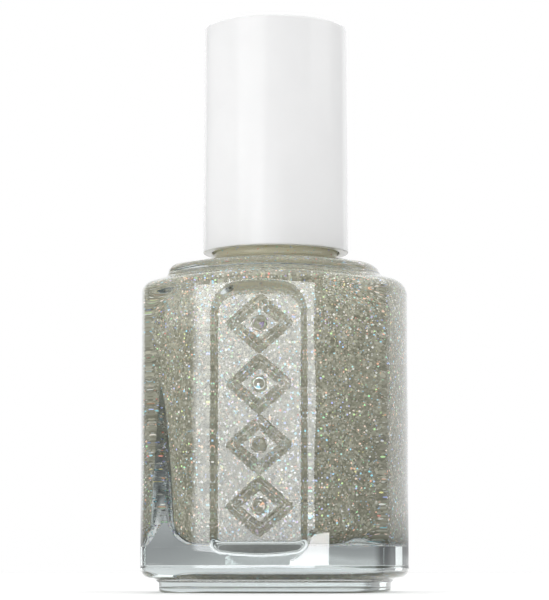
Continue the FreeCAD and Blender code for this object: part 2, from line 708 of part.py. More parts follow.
def tuft_section(body, name, height, key):
    """Flat section of the tuft: two straight sides joined by two half-round ends."""
    sketch = new_sketch(body, name, "XY_Plane", height)
    run, radius = D[f"tuft_{key}_run"], D[f"tuft_{key}_radius"]
    pieces = (line((-run, -radius), (run, -radius)), arc((run, 0), radius, -90, 90),
              line((run, radius), (-run, radius)), arc((-run, 0), radius, 90, 270))
    chain = [sketch.addGeometry(piece) for piece in pieces]
    close_up(sketch, chain, ["Tangent"] * len(chain))
    for end in (chain[1], chain[3]):
        sketch.addConstraint(Sketcher.Constraint("PointOnObject", end, 3, -1))
    size(sketch, "Radius", chain[1], to=f"dims.tuft_{key}_radius")
    size(sketch, "DistanceX", -1, 1, chain[1], 3, to=f"dims.tuft_{key}_run")
    size(sketch, "DistanceX", chain[3], 3, -1, 1, to=f"dims.tuft_{key}_run")
    return sketch


def brush_bristles():
    """Tuft of filaments, round where it is gripped and flat at the tip, folded over the staple."""
    body = new_body("tuft_form")
    grip = tuft_section(body, "tuft_grip", "dims.tuft_root_top", "root")
    lower = (tuft_section(body, "tuft_mouth", "dims.stem_low", "root"),
             tuft_section(body, "tuft_waist", "dims.tuft_waist", "waist"),
             tuft_section(body, "tuft_tip", "dims.tuft_low", "tip"))
    loft = body.newObject("PartDesign::AdditiveLoft", "tuft_loft")
    loft.Profile = grip
    loft.Sections = list(lower)
    loft.Ruled = True
    doc.recompute()
    return cut("brush_bristles", body, [staple("staple_room", "dims.staple_room")])


# ---------------------------------------------------------------- build, check and write
PIECES = [
    glass_bottle(), polish_fill(), mixing_balls(), base_label(), outer_cap(), inner_cap(),
    brush_stem(), staple("brush_staple", "0"), brush_bristles(),
]
doc.recompute()
for item in doc.Objects:
    if "Invalid" in item.State or "Error" in item.State:
        raise RuntimeError(f"{item.Name} did not build: {item.State}")
os.makedirs("parts", exist_ok=True)
for piece in PIECES:
    shape = piece.Shape
    if shape.isNull() or not shape.isValid() or not shape.Solids:
        raise RuntimeError(f"{piece.Label} has no valid solid")
    box = shape.optimalBoundingBox()
    spans = [f"{low:.2f}..{high:.2f}" for low, high in
             ((box.XMin, box.XMax), (box.YMin, box.YMax), (box.ZMin, box.ZMax))]
    print(f"{piece.Label:16s} {len(shape.Solids)} solid(s) {shape.Volume:9.1f} mm3", *spans)
for piece in PIECES:
    piece.Shape.exportStep(f"parts/{piece.Label}.step")
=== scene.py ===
import math

import bpy
import numpy as np
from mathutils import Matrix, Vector


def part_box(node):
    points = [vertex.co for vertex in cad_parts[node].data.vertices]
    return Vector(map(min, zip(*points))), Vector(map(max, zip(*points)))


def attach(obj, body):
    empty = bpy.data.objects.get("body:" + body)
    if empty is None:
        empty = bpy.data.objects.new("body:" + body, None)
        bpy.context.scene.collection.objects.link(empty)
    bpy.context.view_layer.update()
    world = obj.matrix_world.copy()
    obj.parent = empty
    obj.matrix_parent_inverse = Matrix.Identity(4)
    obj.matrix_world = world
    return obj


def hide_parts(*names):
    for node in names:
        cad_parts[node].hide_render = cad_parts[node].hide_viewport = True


# Nail polish bottle: looks. Sizes are in millimetres and go through MM to the frame's metres.
MM = 0.001
SEED = 11

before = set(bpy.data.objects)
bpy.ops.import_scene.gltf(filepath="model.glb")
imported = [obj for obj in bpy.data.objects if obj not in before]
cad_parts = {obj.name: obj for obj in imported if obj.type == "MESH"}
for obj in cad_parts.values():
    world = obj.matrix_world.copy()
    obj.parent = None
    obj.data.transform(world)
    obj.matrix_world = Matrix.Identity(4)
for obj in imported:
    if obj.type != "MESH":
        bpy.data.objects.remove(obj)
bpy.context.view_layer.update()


def span(node):
    """Lowest and highest corner of a CAD node, in millimetres."""
    low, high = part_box(node)
    return low / MM, high / MM


# ---------------------------------------------------------------- sizes read from the frame
GLASS_LOW, GLASS_HIGH = span("glass_bottle")
FILL_LOW, FILL_HIGH = span("polish_fill")
STEM_LOW = span("brush_stem")[0]
TUFT_LOW, TUFT_HIGH = span("brush_bristles")
LABEL_LOW, LABEL_HIGH = span("base_label")

BODY_WIDTH = GLASS_HIGH.x - GLASS_LOW.x
NECK_TOP = GLASS_HIGH.z
FILL_LEVEL = FILL_HIGH.z
FILL_GAP = 0.02
CHAMBER_WIDTH = FILL_HIGH.x - FILL_LOW.x + 2 * FILL_GAP
CHAMBER_FLOOR = FILL_LOW.z - FILL_GAP

# ---------------------------------------------------------------- the bottle's own proportions
# Plans are squares with bowed sides and rounded corners; some carry a shallow dome.
BOW = 38.0
BODY = {"width": BODY_WIDTH, "bow": BOW, "corner": 5.8, "top": 38.6, "dome": 51.0}
TIER = {"width": BODY_WIDTH - 6.7, "bow": BOW, "corner": 4.8, "top": 40.8, "dome": 66.0}
FOOT = {"width": BODY_WIDTH - 4.5, "bow": BOW, "corner": 4.8, "top": 1.1}
CHAMBER = {"width": CHAMBER_WIDTH, "bow": BOW, "corner": 6.5, "top": 37.3, "dome": 30.0}

# Roundings: a ROUND is an outer edge, a JOIN the hollow where a step meets the next surface.
FOOT_ROUND, FOOT_JOIN = 0.6, 0.45
BODY_BASE, BODY_ROUND_LOW, BODY_ROUND_TOP = 1.8, 1.2, 1.1
TIER_ROUND, TIER_JOIN = 1.0, 0.4
COLLAR_RADIUS, COLLAR_TOP, COLLAR_JOIN = 7.85, 44.2, 0.5
NECK_RADIUS, NECK_START, BORE_RADIUS = 5.75, 44.7, 3.7
RIM_ROUND = 0.5
HEEL_STEP, HEEL_TOP, HEEL_ROUND = 1.5, 31.0, 2.9
CHAMBER_ROUND = 3.0
THROAT_WIDE, THROAT_FLARE, THROAT_RADIUS = 9.0, 0.8, 5.3
THROAT_WAIST, THROAT_TOP, THROAT_END = 41.4, 43.3, 44.9
THROAT_LIP_IN, THROAT_LIP_UP, THROAT_SOFTENING = 0.2, 0.15, 0.7

# Small edges as (sideways, up or down) steps from the corner they soften.
COLLAR_EDGE = ((0.0, 0.3), (0.09, 0.09), (0.3, 0.0))
NECK_FOOT = ((0.35, 0.0), (0.1, 0.1), (0.0, 0.35))
RIM_EDGE = ((0.15, 0.15), (0.5, 0.0))
BORE_EDGE = ((0.2, 0.0), (0.05, 0.06), (0.0, 0.25))
WAY_EDGE = ((0.25, 0.0), (0.06, 0.06), (0.0, 0.25))

THREAD_CREST, THREAD_PITCH, THREAD_LOW, THREAD_TURNS = 6.5, 2.12, 46.6, 2
THREAD_HALF, THREAD_FLANK, THREAD_FADE = 0.62, 0.19, 0.06
WELL_RADIUS, WELL_DEPTH, WELL_ROUND, WELL_LIP, WELL_MIDDLE = 10.0, 0.6, 0.15, 0.12, 3.0

PANEL_FLOOR = BODY_WIDTH / 2 - 1.1
PANEL_HALF, PANEL_LOW, PANEL_TOP = 5.15, 5.95, 36.15
PANEL_CORNER_LOW, PANEL_CORNER_TOP = 0.7, 2.4
PANEL_SLOPE = 1.6 / 1.8
PANEL_EDGE, PANEL_BLEND = 0.25, 0.14
LOZENGE_HALF_WIDTH, LOZENGE_HALF_HEIGHT, LOZENGE_LINE = 4.0, 3.5, 1.4
LOZENGE_FIRST, LOZENGE_PITCH, LOZENGE_COUNT, LOZENGE_RELIEF = 10.4, 7.3, 4, 0.4
LOZENGE_BEVEL = LOZENGE_LINE * 0.3
STUD_RADIUS = 0.85

# The polish reaches a little into the glass, so that no film of air shows between them.
POLISH_OVERLAP = 0.04
WAY_RADIUS, WAY_LOW = 2.75, 7.4
FLAKE_COUNT, FLAKE_HALF_THICK, FLAKE_LIFT, FLAKE_TILT = 6000, 0.008, 0.012, 0.2
FLAKE_RADII = (0.05, 0.125)

TUFT_GRIP, TUFT_WAIST, TUFT_FAN, TUFT_PINCH = 1.1, 13.5, 8.0, 0.16
TUFT_SUNK, TUFT_FILL, TUFT_FLATNESS = 0.15, 0.93, 0.85
FILAMENT_COUNT, FILAMENT_RADIUS, FILAMENT_SIDES, FILAMENT_RINGS = 260, 0.05, 5, 10
FILAMENT_POINT = 0.45
LABEL_SHARES = (0.3, 0.6, 0.85, 0.985)
LABEL_TRIM, LABEL_SUNK, LABEL_EDGE = 0.06, 0.012, 0.02

# How finely the meshes are cut.
ROW_STEP = 0.19
SIDE_REACH = 10.2
FRONT_QUARTER, FRONT_FINE_HALF, FRONT_MARGIN_STEPS = 3, 7.4, 12
WAVE_HEIGHT = 0.012

# ---------------------------------------------------------------- tones, heights of effects
GLASS_IOR, LACQUER_IOR = 1.52, 1.472
POLISH_DARK, POLISH_LIGHT = (0.335, 0.322, 0.245), (0.44, 0.42, 0.335)
# Painted light: the polish in the throat is painted paler and warmer, for the light the thin layer lets
# through under the cap.
THROAT_LIGHT_TONE = (0.93, 0.86, 0.64)
THROAT_LIGHT_FROM, THROAT_LIGHT_TO = THROAT_WAIST - 2.8, THROAT_WAIST - 0.6
# Painted light: the polish is painted lighter towards the top of the body, for more light falling from
# above.
TOP_LIGHT_FROM, TOP_LIGHT_TO, TOP_LIGHT_TONE = 16.0, 36.0, (1.16, 1.16, 1.15)
MIRROR_TOP, MIRROR_FADE, MIRROR_BLUR = 31.0, 3.0, 0.11
GRAIN_SIZE = 0.23
GRAIN_TONES = ((0.0, (0.34, 0.34, 0.31)), (0.35, (0.66, 0.66, 0.64)), (0.75, (1.0, 1.0, 1.0)),
               (1.0, (1.65, 1.65, 1.7)))
# Painted sparkles: glitter specks whose glints are painted into the colour, some brighter than white.
# Layers: (size in millimetres, share of cells that shine, brightness).
PAINTED_SPARKLES = ((0.19, 0.24, 0.85), (0.31, 0.17, 1.3))
PAINTED_SPARKLE_REACH = 0.42
PAINTED_SPARKLE_TINTS = (
    (0.0, (0.20, 0.19, 0.15)), (0.22, (0.45, 0.43, 0.36)), (0.45, (1.0, 1.0, 0.97)),
    (0.62, (1.0, 0.55, 0.33)), (0.74, (0.4, 0.85, 1.0)), (0.85, (0.62, 0.6, 1.0)),
    (0.92, (0.5, 1.0, 0.55)), (1.0, (1.0, 0.88, 0.4)))
FLAKE_TINTS = (
    (0.00, (0.95, 0.94, 0.90)), (0.42, (0.98, 0.62, 0.42)), (0.52, (0.45, 0.85, 0.95)),
    (0.62, (0.55, 0.62, 0.98)), (0.71, (0.80, 0.66, 0.98)), (0.78, (0.62, 0.95, 0.60)),
    (0.84, (0.98, 0.86, 0.45)), (0.90, (0.95, 0.38, 0.30)), (0.94, (0.80, 0.80, 0.74)))
STEM_DIP_TOP, STEM_DIP_FADE = 40.0, 9.0
LENS, SENSOR = 140.94, 36.0


# ---------------------------------------------------------------- ring meshes
def columns(front_step, side_steps, corner_steps):
    """Places round the outline: (quarter, is it a corner, how far along it from -1 to 1)."""
    fine = int(2 * FRONT_FINE_HALF / front_step)
    edge = FRONT_FINE_HALF / SIDE_REACH
    front = list(np.linspace(-1, -edge, FRONT_MARGIN_STEPS)[:-1])
    front += list(np.linspace(-edge, edge, fine))
    front += list(np.linspace(edge, 1, FRONT_MARGIN_STEPS)[1:])
    found = []
    for quarter in range(4):
        run = front if quarter == FRONT_QUARTER else list(np.linspace(-1, 1, side_steps))
        found += [(quarter, False, place) for place in run[:-1]]
        found += [(quarter, True, place) for place in np.linspace(-1, 1, corner_steps)[:-1]]
    return found


def outline(plan, inset, places):
    """Points of a bowed square with rounded corners, moved inwards by inset."""
    half, bow, corner = plan["width"] / 2, plan["bow"], plan["corner"]
    centre = half - bow
    reach = bow - corner
    pivot = (centre + math.sqrt(2 * reach ** 2 - centre ** 2)) / 2
    lean = math.atan2(pivot, pivot - centre)
    points = np.empty((len(places), 2))
    for index, (quarter, is_corner, place) in enumerate(places):
        if is_corner:
            angle = math.pi / 4 + place * (math.pi / 4 - lean)
            x = pivot + (corner - inset) * math.cos(angle)
            y = pivot + (corner - inset) * math.sin(angle)
        else:
            x = centre + (bow - inset) * math.cos(place * lean)
            y = (bow - inset) * math.sin(place * lean)
        for _ in range(quarter):
            x, y = -y, x
        points[index] = x, y
    return points


def circle(radius, guide):
    """Round ring whose points lie in the same directions as those of the guide outline."""
    return guide / np.linalg.norm(guide, axis=1, keepdims=True) * radius


def dome(points, plan):
    """Height of the plan's dome, which stands at its top over the middle of each side."""
    away = (points ** 2).sum(1)
    return plan["top"] - (away - (plan["width"] / 2) ** 2) / (2 * plan["dome"])


def ring(points, heights):
    """Points on the plan, each with its height."""
    heights = np.broadcast_to(np.asarray(heights, float), (len(points),))
    return np.column_stack([points, heights])


def circles(guide, steps):
    """Round rings, one for each (radius, height)."""
    return [ring(circle(radius, guide), height) for radius, height in steps]


def skin(name, rings, close_low, close_high):
    """Closed mesh through a stack of rings; each end is shut by a fan round its middle."""
    count = len(rings[0])
    verts = np.concatenate(rings)
    faces = []
    for level in range(len(rings) - 1):
        base = level * count
        for index in range(count):
            after = (index + 1) % count
            faces.append((base + index, base + after, base + count + after, base + count + index))
    top = (len(rings) - 1) * count
    middle = len(verts)
    for index in range(count):
        after = (index + 1) % count
        faces.append((after, index, middle))
    for index in range(count):
        after = (index + 1) % count
        faces.append((top + index, top + after, middle + 1))
    middles = [(0.0, 0.0, close_low), (0.0, 0.0, close_high)]
    return new_mesh(name, np.concatenate([verts, np.array(middles)]), faces)


def new_mesh(name, verts, faces, smooth=True):
    """Object from points in millimetres and faces."""
    mesh = bpy.data.meshes.new(name)
    mesh.from_pydata((np.asarray(verts) * MM).tolist(), [], faces)
    mesh.polygons.foreach_set("use_smooth", [smooth] * len(mesh.polygons))
    mesh.update()
    piece = bpy.data.objects.new(name, mesh)
    bpy.context.scene.collection.objects.link(piece)
    return piece


def soft_max(first, second, blend):
    """Larger of two surfaces, rounded over where they cross."""
    gap = np.maximum(blend - np.abs(first - second), 0) / blend
    return np.maximum(first, second) + gap ** 2 * blend / 4


def softened(profile, cut, steps):
    """Profile with every inner corner replaced by a short curve."""
    found = [profile[0]]
    for before, corner, after in zip(profile, profile[1:], profile[2:]):
        before, corner, after = (Vector(point) for point in (before, corner, after))
        reach = min(cut, (before - corner).length / 2.1, (after - corner).length / 2.1)
        start = corner + (before - corner).normalized() * reach
        end = corner + (after - corner).normalized() * reach
        for share in np.linspace(0, 1, steps):
            found.append(tuple(start.lerp(corner, share).lerp(corner.lerp(end, share), share)))
    return found + [profile[-1]]


def smooth_step(value):
    """0 to 1, level at both ends."""
    value = np.clip(value, 0, 1)
    return value * value * (3 - 2 * value)


def rounded(value):
    """Quarter wave: steep at the edge, level at the crest."""
    return np.sin(np.clip(value, 0, 1) * math.pi / 2)


def rounding(radius, steps):
    """(inset, drop) pairs of a quarter round, from the side to the top."""
    angles = np.linspace(0, math.pi / 2, steps)
    return [(radius * (1 - math.cos(angle)), radius * (1 - math.sin(angle))) for angle in angles]


# ---------------------------------------------------------------- glass and polish
def panel_distance(x, z):
    """Distance outside the panel floor's outline; negative inside."""
    arch = x ** 2 / (2 * BODY["dome"])
    middle = (PANEL_LOW + PANEL_TOP) / 2
    half_height = (PANEL_TOP - PANEL_LOW) / 2
    rise = z + np.where(z > middle, arch, 0) - middle
    corner = np.where(z > middle, PANEL_CORNER_TOP, PANEL_CORNER_LOW)
    out_x = np.abs(x) - (PANEL_HALF - corner)
    out_z = np.abs(rise) - (half_height - corner)
    outside = np.hypot(np.maximum(out_x, 0), np.maximum(out_z, 0))
    return outside + np.minimum(np.maximum(out_x, out_z), 0) - corner


def lozenge_height(x, z):
    """Relief of the lozenge column: outlines with bevelled edges, and a stud in each."""
    relief = np.zeros_like(x)
    outer_size = (LOZENGE_HALF_WIDTH, LOZENGE_HALF_HEIGHT)
    inner_size = (LOZENGE_HALF_WIDTH - LOZENGE_LINE, LOZENGE_HALF_HEIGHT - LOZENGE_LINE)
    slant, inner_slant = (wide * high / math.hypot(wide, high) for wide, high in (outer_size, inner_size))
    for index in range(LOZENGE_COUNT):
        up = z - (LOZENGE_FIRST + index * LOZENGE_PITCH)
        outer = (1 - np.abs(x) / outer_size[0] - np.abs(up) / outer_size[1]) * slant
        hollow = (np.abs(x) / inner_size[0] + np.abs(up) / inner_size[1] - 1) * inner_slant
        line = rounded(np.minimum(outer, hollow) / LOZENGE_BEVEL)
        stud = rounded((STUD_RADIUS - np.hypot(x, up)) / STUD_RADIUS)
        relief = np.maximum(relief, np.maximum(line, stud))
    return relief * LOZENGE_RELIEF


def sink_panel(points):
    """Press the front panel and its lozenges into a ring of the body's side."""
    front = points[:, 1] < -BODY_WIDTH / 4
    x, y, z = points[front, 0], points[front, 1], points[front, 2]
    away = panel_distance(x, z)
    run = np.where(away > 0, away, 0)
    run = np.where(np.abs(away) < PANEL_EDGE, (away + PANEL_EDGE) ** 2 / (4 * PANEL_EDGE), run)
    level = -PANEL_FLOOR - PANEL_SLOPE * run - lozenge_height(x, z) * (away < 0)
    points[front, 1] = soft_max(y, level, PANEL_BLEND)
    return points


def wavy(points):
    """Slight unevenness of moulded glass, a few hundredths of a millimetre."""
    x, y, z = points.T
    swell = np.sin(0.43 * z + 0.21 * x + 1.3) + np.sin(0.31 * x - 0.37 * y + 0.9 * np.sin(0.22 * z))
    out = points[:, :2] / np.maximum(np.linalg.norm(points[:, :2], axis=1, keepdims=True), 1e-6)
    points[:, :2] += out * (WAVE_HEIGHT * (swell - 2))[:, None]
    return points


def foot_rings(places):
    """Rings from the label's well, over the foot and up to the step under the body."""
    foot = outline(FOOT, 0, places)
    lip = WELL_RADIUS + WELL_LIP
    rings = circles(foot, (
        (WELL_MIDDLE, WELL_DEPTH), (WELL_RADIUS - WELL_ROUND, WELL_DEPTH),
        (WELL_RADIUS, WELL_DEPTH - WELL_ROUND), (WELL_RADIUS, WELL_LIP), (lip, 0.0)))
    near = circle(lip, foot)
    far = outline(FOOT, FOOT_ROUND, places)
    rings += [ring(near + (far - near) * share, 0.0) for share in (0.5, 1.0)]
    for inset, rise in reversed(rounding(FOOT_ROUND, 7)[:-1]):
        rings.append(ring(outline(FOOT, inset, places), rise))
    rings.append(ring(foot, FOOT["top"]))
    for inset, drop in reversed(rounding(FOOT_JOIN, 6)):
        rings.append(ring(outline(FOOT, -inset, places), BODY_BASE - drop))
    return rings


def side_rings(places):
    """Rings up the sides of the body, with the front panel pressed in."""
    step = outline(FOOT, -FOOT_JOIN, places) * 0.5 + outline(BODY, BODY_ROUND_LOW, places) * 0.5
    rings = [ring(step, BODY_BASE)]
    for inset, rise in reversed(rounding(BODY_ROUND_LOW, 10)):
        rings.append(ring(outline(BODY, inset, places), BODY_BASE + rise))
    side = outline(BODY, 0, places)
    low = BODY_BASE + BODY_ROUND_LOW
    high = dome(side, BODY) - BODY_ROUND_TOP
    rows = int((BODY["top"] - BODY_BASE) / ROW_STEP)
    for row in range(1, rows):
        rings.append(sink_panel(wavy(ring(side, low + (high - low) * row / rows))))
    for inset, drop in rounding(BODY_ROUND_TOP, 12):
        points = outline(BODY, inset, places)
        rings.append(sink_panel(wavy(ring(points, dome(points, BODY) - drop))))
    return rings


def shoulder_rings(places):
    """Rings over the shoulder, up the stepped tier and in to the collar."""
    rings = []
    edge = outline(BODY, BODY_ROUND_TOP, places)
    step = outline(TIER, -TIER_JOIN, places)
    for share in (0.3, 0.6, 0.85):
        points = edge * (1 - share) + step * share
        rings.append(ring(points, dome(points, BODY)))
    for inset, rise in reversed(rounding(TIER_JOIN, 6)):
        points = outline(TIER, -inset, places)
        rings.append(ring(points, dome(points, BODY) + rise))
    for inset, drop in rounding(TIER_ROUND, 10):
        points = outline(TIER, inset, places)
        rings.append(ring(points, dome(points, TIER) - drop))
    shoulder = outline(TIER, TIER_ROUND, places)
    collar = circle(COLLAR_RADIUS + COLLAR_JOIN, shoulder)
    for share in np.linspace(0.12, 1.0, 9):
        points = shoulder * (1 - share) + collar * share
        rings.append(ring(points, dome(points, TIER)))
    for inset, rise in reversed(rounding(COLLAR_JOIN, 6)[:-1]):
        points = circle(COLLAR_RADIUS + inset, shoulder)
        rings.append(ring(points, dome(points, TIER) + rise))
    return rings


def neck_rings(guide):
    """Collar's edge, plain neck with rounded thread wound up it, and the rim."""
    steps = [(COLLAR_RADIUS - across, COLLAR_TOP - down) for across, down in COLLAR_EDGE]
    steps += [(NECK_RADIUS + across, COLLAR_TOP + up) for across, up in NECK_FOOT]
    rings = circles(guide, steps)
    directions = np.arctan2(guide[:, 1], guide[:, 0]) / (2 * math.pi)
    for height in np.linspace(NECK_START, NECK_TOP - RIM_ROUND, 50):
        turns = (height - THREAD_LOW) / THREAD_PITCH - directions
        near = turns - np.round(turns)
        wound = np.round(turns) + directions
        crest = smooth_step((THREAD_HALF / THREAD_PITCH - np.abs(near)) / THREAD_FLANK)
        starts = smooth_step((wound + THREAD_FADE) / (2 * THREAD_FADE))
        ends = smooth_step((THREAD_TURNS + THREAD_FADE - wound) / (2 * THREAD_FADE))
        radius = NECK_RADIUS + (THREAD_CREST - NECK_RADIUS) * crest * (starts * ends)
        rings.append(ring(circle(1.0, guide) * radius[:, None], height))
    steps = [(NECK_RADIUS - across, NECK_TOP - down) for across, down in RIM_EDGE]
    steps += [(BORE_RADIUS + across, NECK_TOP - down) for across, down in BORE_EDGE]
    return rings + circles(guide, steps)


def glass_rings(places):
    """Rings over the whole glass: under the foot, up the outside, over the rim and down inside."""
    rings = foot_rings(places) + side_rings(places) + shoulder_rings(places)
    rings += neck_rings(outline(TIER, TIER_ROUND, places))
    return rings + list(reversed(chamber_rings(places, 0.0, NECK_TOP - 1.0)))


def heel_inset(height, floor):
    """How far the chamber has narrowed at a height."""
    return HEEL_STEP * max(HEEL_TOP - height, 0) / (HEEL_TOP - floor)


def heel_rings(places, grow):
    """Rings of the chamber's floor, its rounded heel and the tapering walls above it."""
    floor = CHAMBER_FLOOR - grow
    edge = outline(CHAMBER, heel_inset(floor, floor) + HEEL_ROUND, places)
    rings = [ring(edge * share, floor) for share in (0.35, 0.7)]
    for inset, rise in reversed(rounding(HEEL_ROUND, 14)):
        height = floor + rise
        rings.append(ring(outline(CHAMBER, inset - grow + heel_inset(height, floor), places), height))
    low = floor + HEEL_ROUND
    for share in np.linspace(0, 1, 24)[1:]:
        height = low + (HEEL_TOP - low) * share
        rings.append(ring(outline(CHAMBER, heel_inset(height, floor) - grow, places), height))
    return rings


def roof_rings(places, grow):
    """Rings of the upright walls above the heel, the rounded roof and its slope to the throat."""
    inner = outline(CHAMBER, -grow, places)
    high = dome(inner, CHAMBER) - CHAMBER_ROUND
    rings = [ring(inner, HEEL_TOP + (high - HEEL_TOP) * share) for share in np.linspace(0, 1, 12)[1:-1]]
    for inset, drop in rounding(CHAMBER_ROUND, 14):
        points = outline(CHAMBER, inset - grow, places)
        rings.append(ring(points, dome(points, CHAMBER) + grow - drop))
    last = outline(CHAMBER, CHAMBER_ROUND - grow, places)
    wide = circle(THROAT_WIDE + THROAT_FLARE, last)
    for share in (0.25, 0.5, 0.75):
        points = last * (1 - share) + wide * share
        rings.append(ring(points, dome(points, CHAMBER) + grow))
    return rings


def throat_rings(guide, grow, top):
    """Rings of the throat and the bore, up to the height top."""
    wide = THROAT_WIDE + THROAT_FLARE
    start = float(dome(circle(wide, guide), CHAMBER)[0])
    profile = [(wide, start), (THROAT_WIDE - THROAT_LIP_IN, start + THROAT_LIP_UP),
               (THROAT_RADIUS, THROAT_WAIST), (THROAT_RADIUS, THROAT_TOP),
               (BORE_RADIUS, THROAT_END), (BORE_RADIUS, NECK_TOP)]
    smooth = softened(profile, THROAT_SOFTENING, 6)
    steps = [(radius + grow, height) for radius, height in smooth if height < top]
    end = THROAT_RADIUS if top <= THROAT_TOP else BORE_RADIUS
    return circles(guide, steps + [(end + grow, top)])


def chamber_rings(places, grow, top):
    """Rings of the inside, from the floor's middle up to the height top, moved outwards by grow."""
    guide = outline(CHAMBER, CHAMBER_ROUND - grow, places)
    return heel_rings(places, grow) + roof_rings(places, grow) + throat_rings(guide, grow, top)


def brush_way_rings(guide):
    """Rings of the clear way that the brush stands in, from the polish's surface down."""
    steps = [(WAY_RADIUS + across, FILL_LEVEL - down) for across, down in WAY_EDGE]
    steps += [(WAY_RADIUS, height) for height in np.linspace(steps[-1][1], WAY_LOW, 20)[1:]]
    return circles(guide, steps)


# ---------------------------------------------------------------- flakes, tuft and label
def triangle_corners(piece):
    """First, second and third corners of the piece's triangles, in millimetres."""
    mesh = piece.data
    mesh.calc_loop_triangles()
    corners = np.empty(len(mesh.loop_triangles) * 3, dtype=int)
    mesh.loop_triangles.foreach_get("vertices", corners)
    points = np.empty(len(mesh.vertices) * 3)
    mesh.vertices.foreach_get("co", points)
    points = points.reshape(-1, 3) / MM
    return [points[corners.reshape(-1, 3)[:, column]] for column in range(3)]


def flake_chances(corner, cross):
    """Chance of each triangle: its area, but none at the surface, by the brush or low in a corner."""
    weight = np.linalg.norm(cross, axis=1)
    weight *= (corner[:, 2] < FILL_LEVEL - 0.5) & (corner[:, 2] > FILL_LOW.z - 0.1)
    weight *= np.linalg.norm(corner[:, :2], axis=1) > WAY_RADIUS + 0.5
    in_corner = np.abs(corner[:, :2]).min(1) > CHAMBER["width"] / 2 - CHAMBER["corner"]
    weight *= ~in_corner | (corner[:, 2] > MIRROR_TOP)
    return weight / weight.sum()


def unit(vectors):
    """The same directions, one long."""
    return vectors / np.linalg.norm(vectors, axis=1, keepdims=True)


def plate_faces(count):
    """Faces of hexagonal plates that have twelve points each, six on either side."""
    faces = []
    for base in range(0, count * 12, 12):
        faces.append(tuple(base + index for index in reversed(range(6))))
        faces.append(tuple(base + 6 + index for index in range(6)))
        for index in range(6):
            after = (index + 1) % 6
            faces.append((base + index, base + after, base + 6 + after, base + 6 + index))
    return faces


def glitter(body, count):
    """Tiny hexagonal plates just under the glass, scattered over the polish at random tilts."""
    dice = np.random.default_rng(SEED)
    first, second, third = triangle_corners(body)
    cross = np.cross(second - first, third - first)
    chances = flake_chances(first, cross)
    chosen = dice.choice(len(chances), count, p=chances)
    blend = dice.random((count, 2))
    over = blend.sum(1) > 1
    blend[over] = 1 - blend[over]
    spot = first[chosen] + (second - first)[chosen] * blend[:, :1] + (third - first)[chosen] * blend[:, 1:]
    facing = unit(unit(cross[chosen]) + dice.normal(0, FLAKE_TILT, (count, 3)))
    across = unit(np.cross(facing, dice.normal(0, 1, (count, 3))))
    along = np.cross(facing, across)
    radius = dice.uniform(*FLAKE_RADII, count)[:, None]
    verts = np.empty((count, 12, 3))
    for side, lift in ((0, -FLAKE_HALF_THICK), (1, FLAKE_HALF_THICK)):
        for index, angle in enumerate(np.arange(6) * math.pi / 3):
            out = radius * (across * math.cos(angle) + along * math.sin(angle))
            verts[:, side * 6 + index] = spot + facing * (lift + FLAKE_LIFT) + out
    return new_mesh("glitter_flakes", verts.reshape(-1, 3), plate_faces(count), smooth=False)


def filament_points(u, v, tip, lean):
    """Points of one filament, from where it is gripped down to its tip."""
    half_x, half_y = (TUFT_HIGH.x - TUFT_LOW.x) / 2, (TUFT_HIGH.y - TUFT_LOW.y) / 2
    grip = min(TUFT_GRIP, half_y)
    points = []
    for share in np.linspace(0, 1, FILAMENT_RINGS):
        height = TUFT_HIGH.z - TUFT_SUNK + (tip - TUFT_HIGH.z + TUFT_SUNK) * share
        fan = smooth_step((STEM_LOW.z - height) / TUFT_FAN)
        pinch = 1 - TUFT_PINCH * smooth_step((TUFT_WAIST - height) / (TUFT_WAIST - TUFT_LOW.z))
        x = u * (grip + (half_x - grip) * fan) * pinch + lean[0] * fan
        y = v * (grip + (half_y * TUFT_FLATNESS - grip) * fan) * pinch + lean[1] * fan
        thin = FILAMENT_RADIUS * (FILAMENT_POINT if share == 1 else 1.0)
        for turn in np.arange(FILAMENT_SIDES) * 2 * math.pi / FILAMENT_SIDES:
            points.append((x + thin * math.cos(turn), y + thin * math.sin(turn), height))
    return points


def filament_faces(base):
    """Sides and ends of the filament whose points start at base."""
    faces = []
    for level in range(FILAMENT_RINGS - 1):
        low = base + level * FILAMENT_SIDES
        high = low + FILAMENT_SIDES
        for side in range(FILAMENT_SIDES):
            after = (side + 1) % FILAMENT_SIDES
            faces.append((low + after, low + side, high + side, high + after))
    faces.append(tuple(range(base, base + FILAMENT_SIDES)))
    end = base + (FILAMENT_RINGS - 1) * FILAMENT_SIDES
    faces.append(tuple(reversed(range(end, end + FILAMENT_SIDES))))
    return faces


def tuft(count):
    """Brush tuft of separate filaments: round where it is gripped, flat and domed at the tip."""
    dice = np.random.default_rng(SEED)
    golden = math.pi * (3 - math.sqrt(5))
    verts, faces = [], []
    for index in range(count):
        out = math.sqrt((index + 0.5) / count) * TUFT_FILL
        angle = index * golden
        tip = TUFT_LOW.z + 0.1 + 1.5 * out ** 3 + dice.uniform(0, 0.35)
        lean = dice.normal(0, 0.03, 2)
        faces += filament_faces(len(verts))
        verts += filament_points(out * math.cos(angle), out * math.sin(angle), tip, lean)
    return new_mesh("brush_filaments", verts, faces)


def label_disc():
    """Round paper label, stuck flat to the glass of its well, its edge cut a little unevenly."""
    turns = np.linspace(0, 2 * math.pi, 97)[:-1]
    cut = LABEL_HIGH.x - LABEL_TRIM + 0.025 * np.sin(7 * turns) + 0.02 * np.sin(23 * turns + 1)
    edge = np.column_stack([cut * np.cos(turns), cut * np.sin(turns)])
    low, stuck = LABEL_LOW.z, WELL_DEPTH + LABEL_SUNK
    steps = [(share, low) for share in LABEL_SHARES]
    steps += [(1.0, low + LABEL_EDGE), (1.0, stuck - LABEL_EDGE)]
    steps += [(share, stuck) for share in reversed(LABEL_SHARES)]
    return skin("paper_label", [ring(edge * share, height) for share, height in steps], low, stuck)


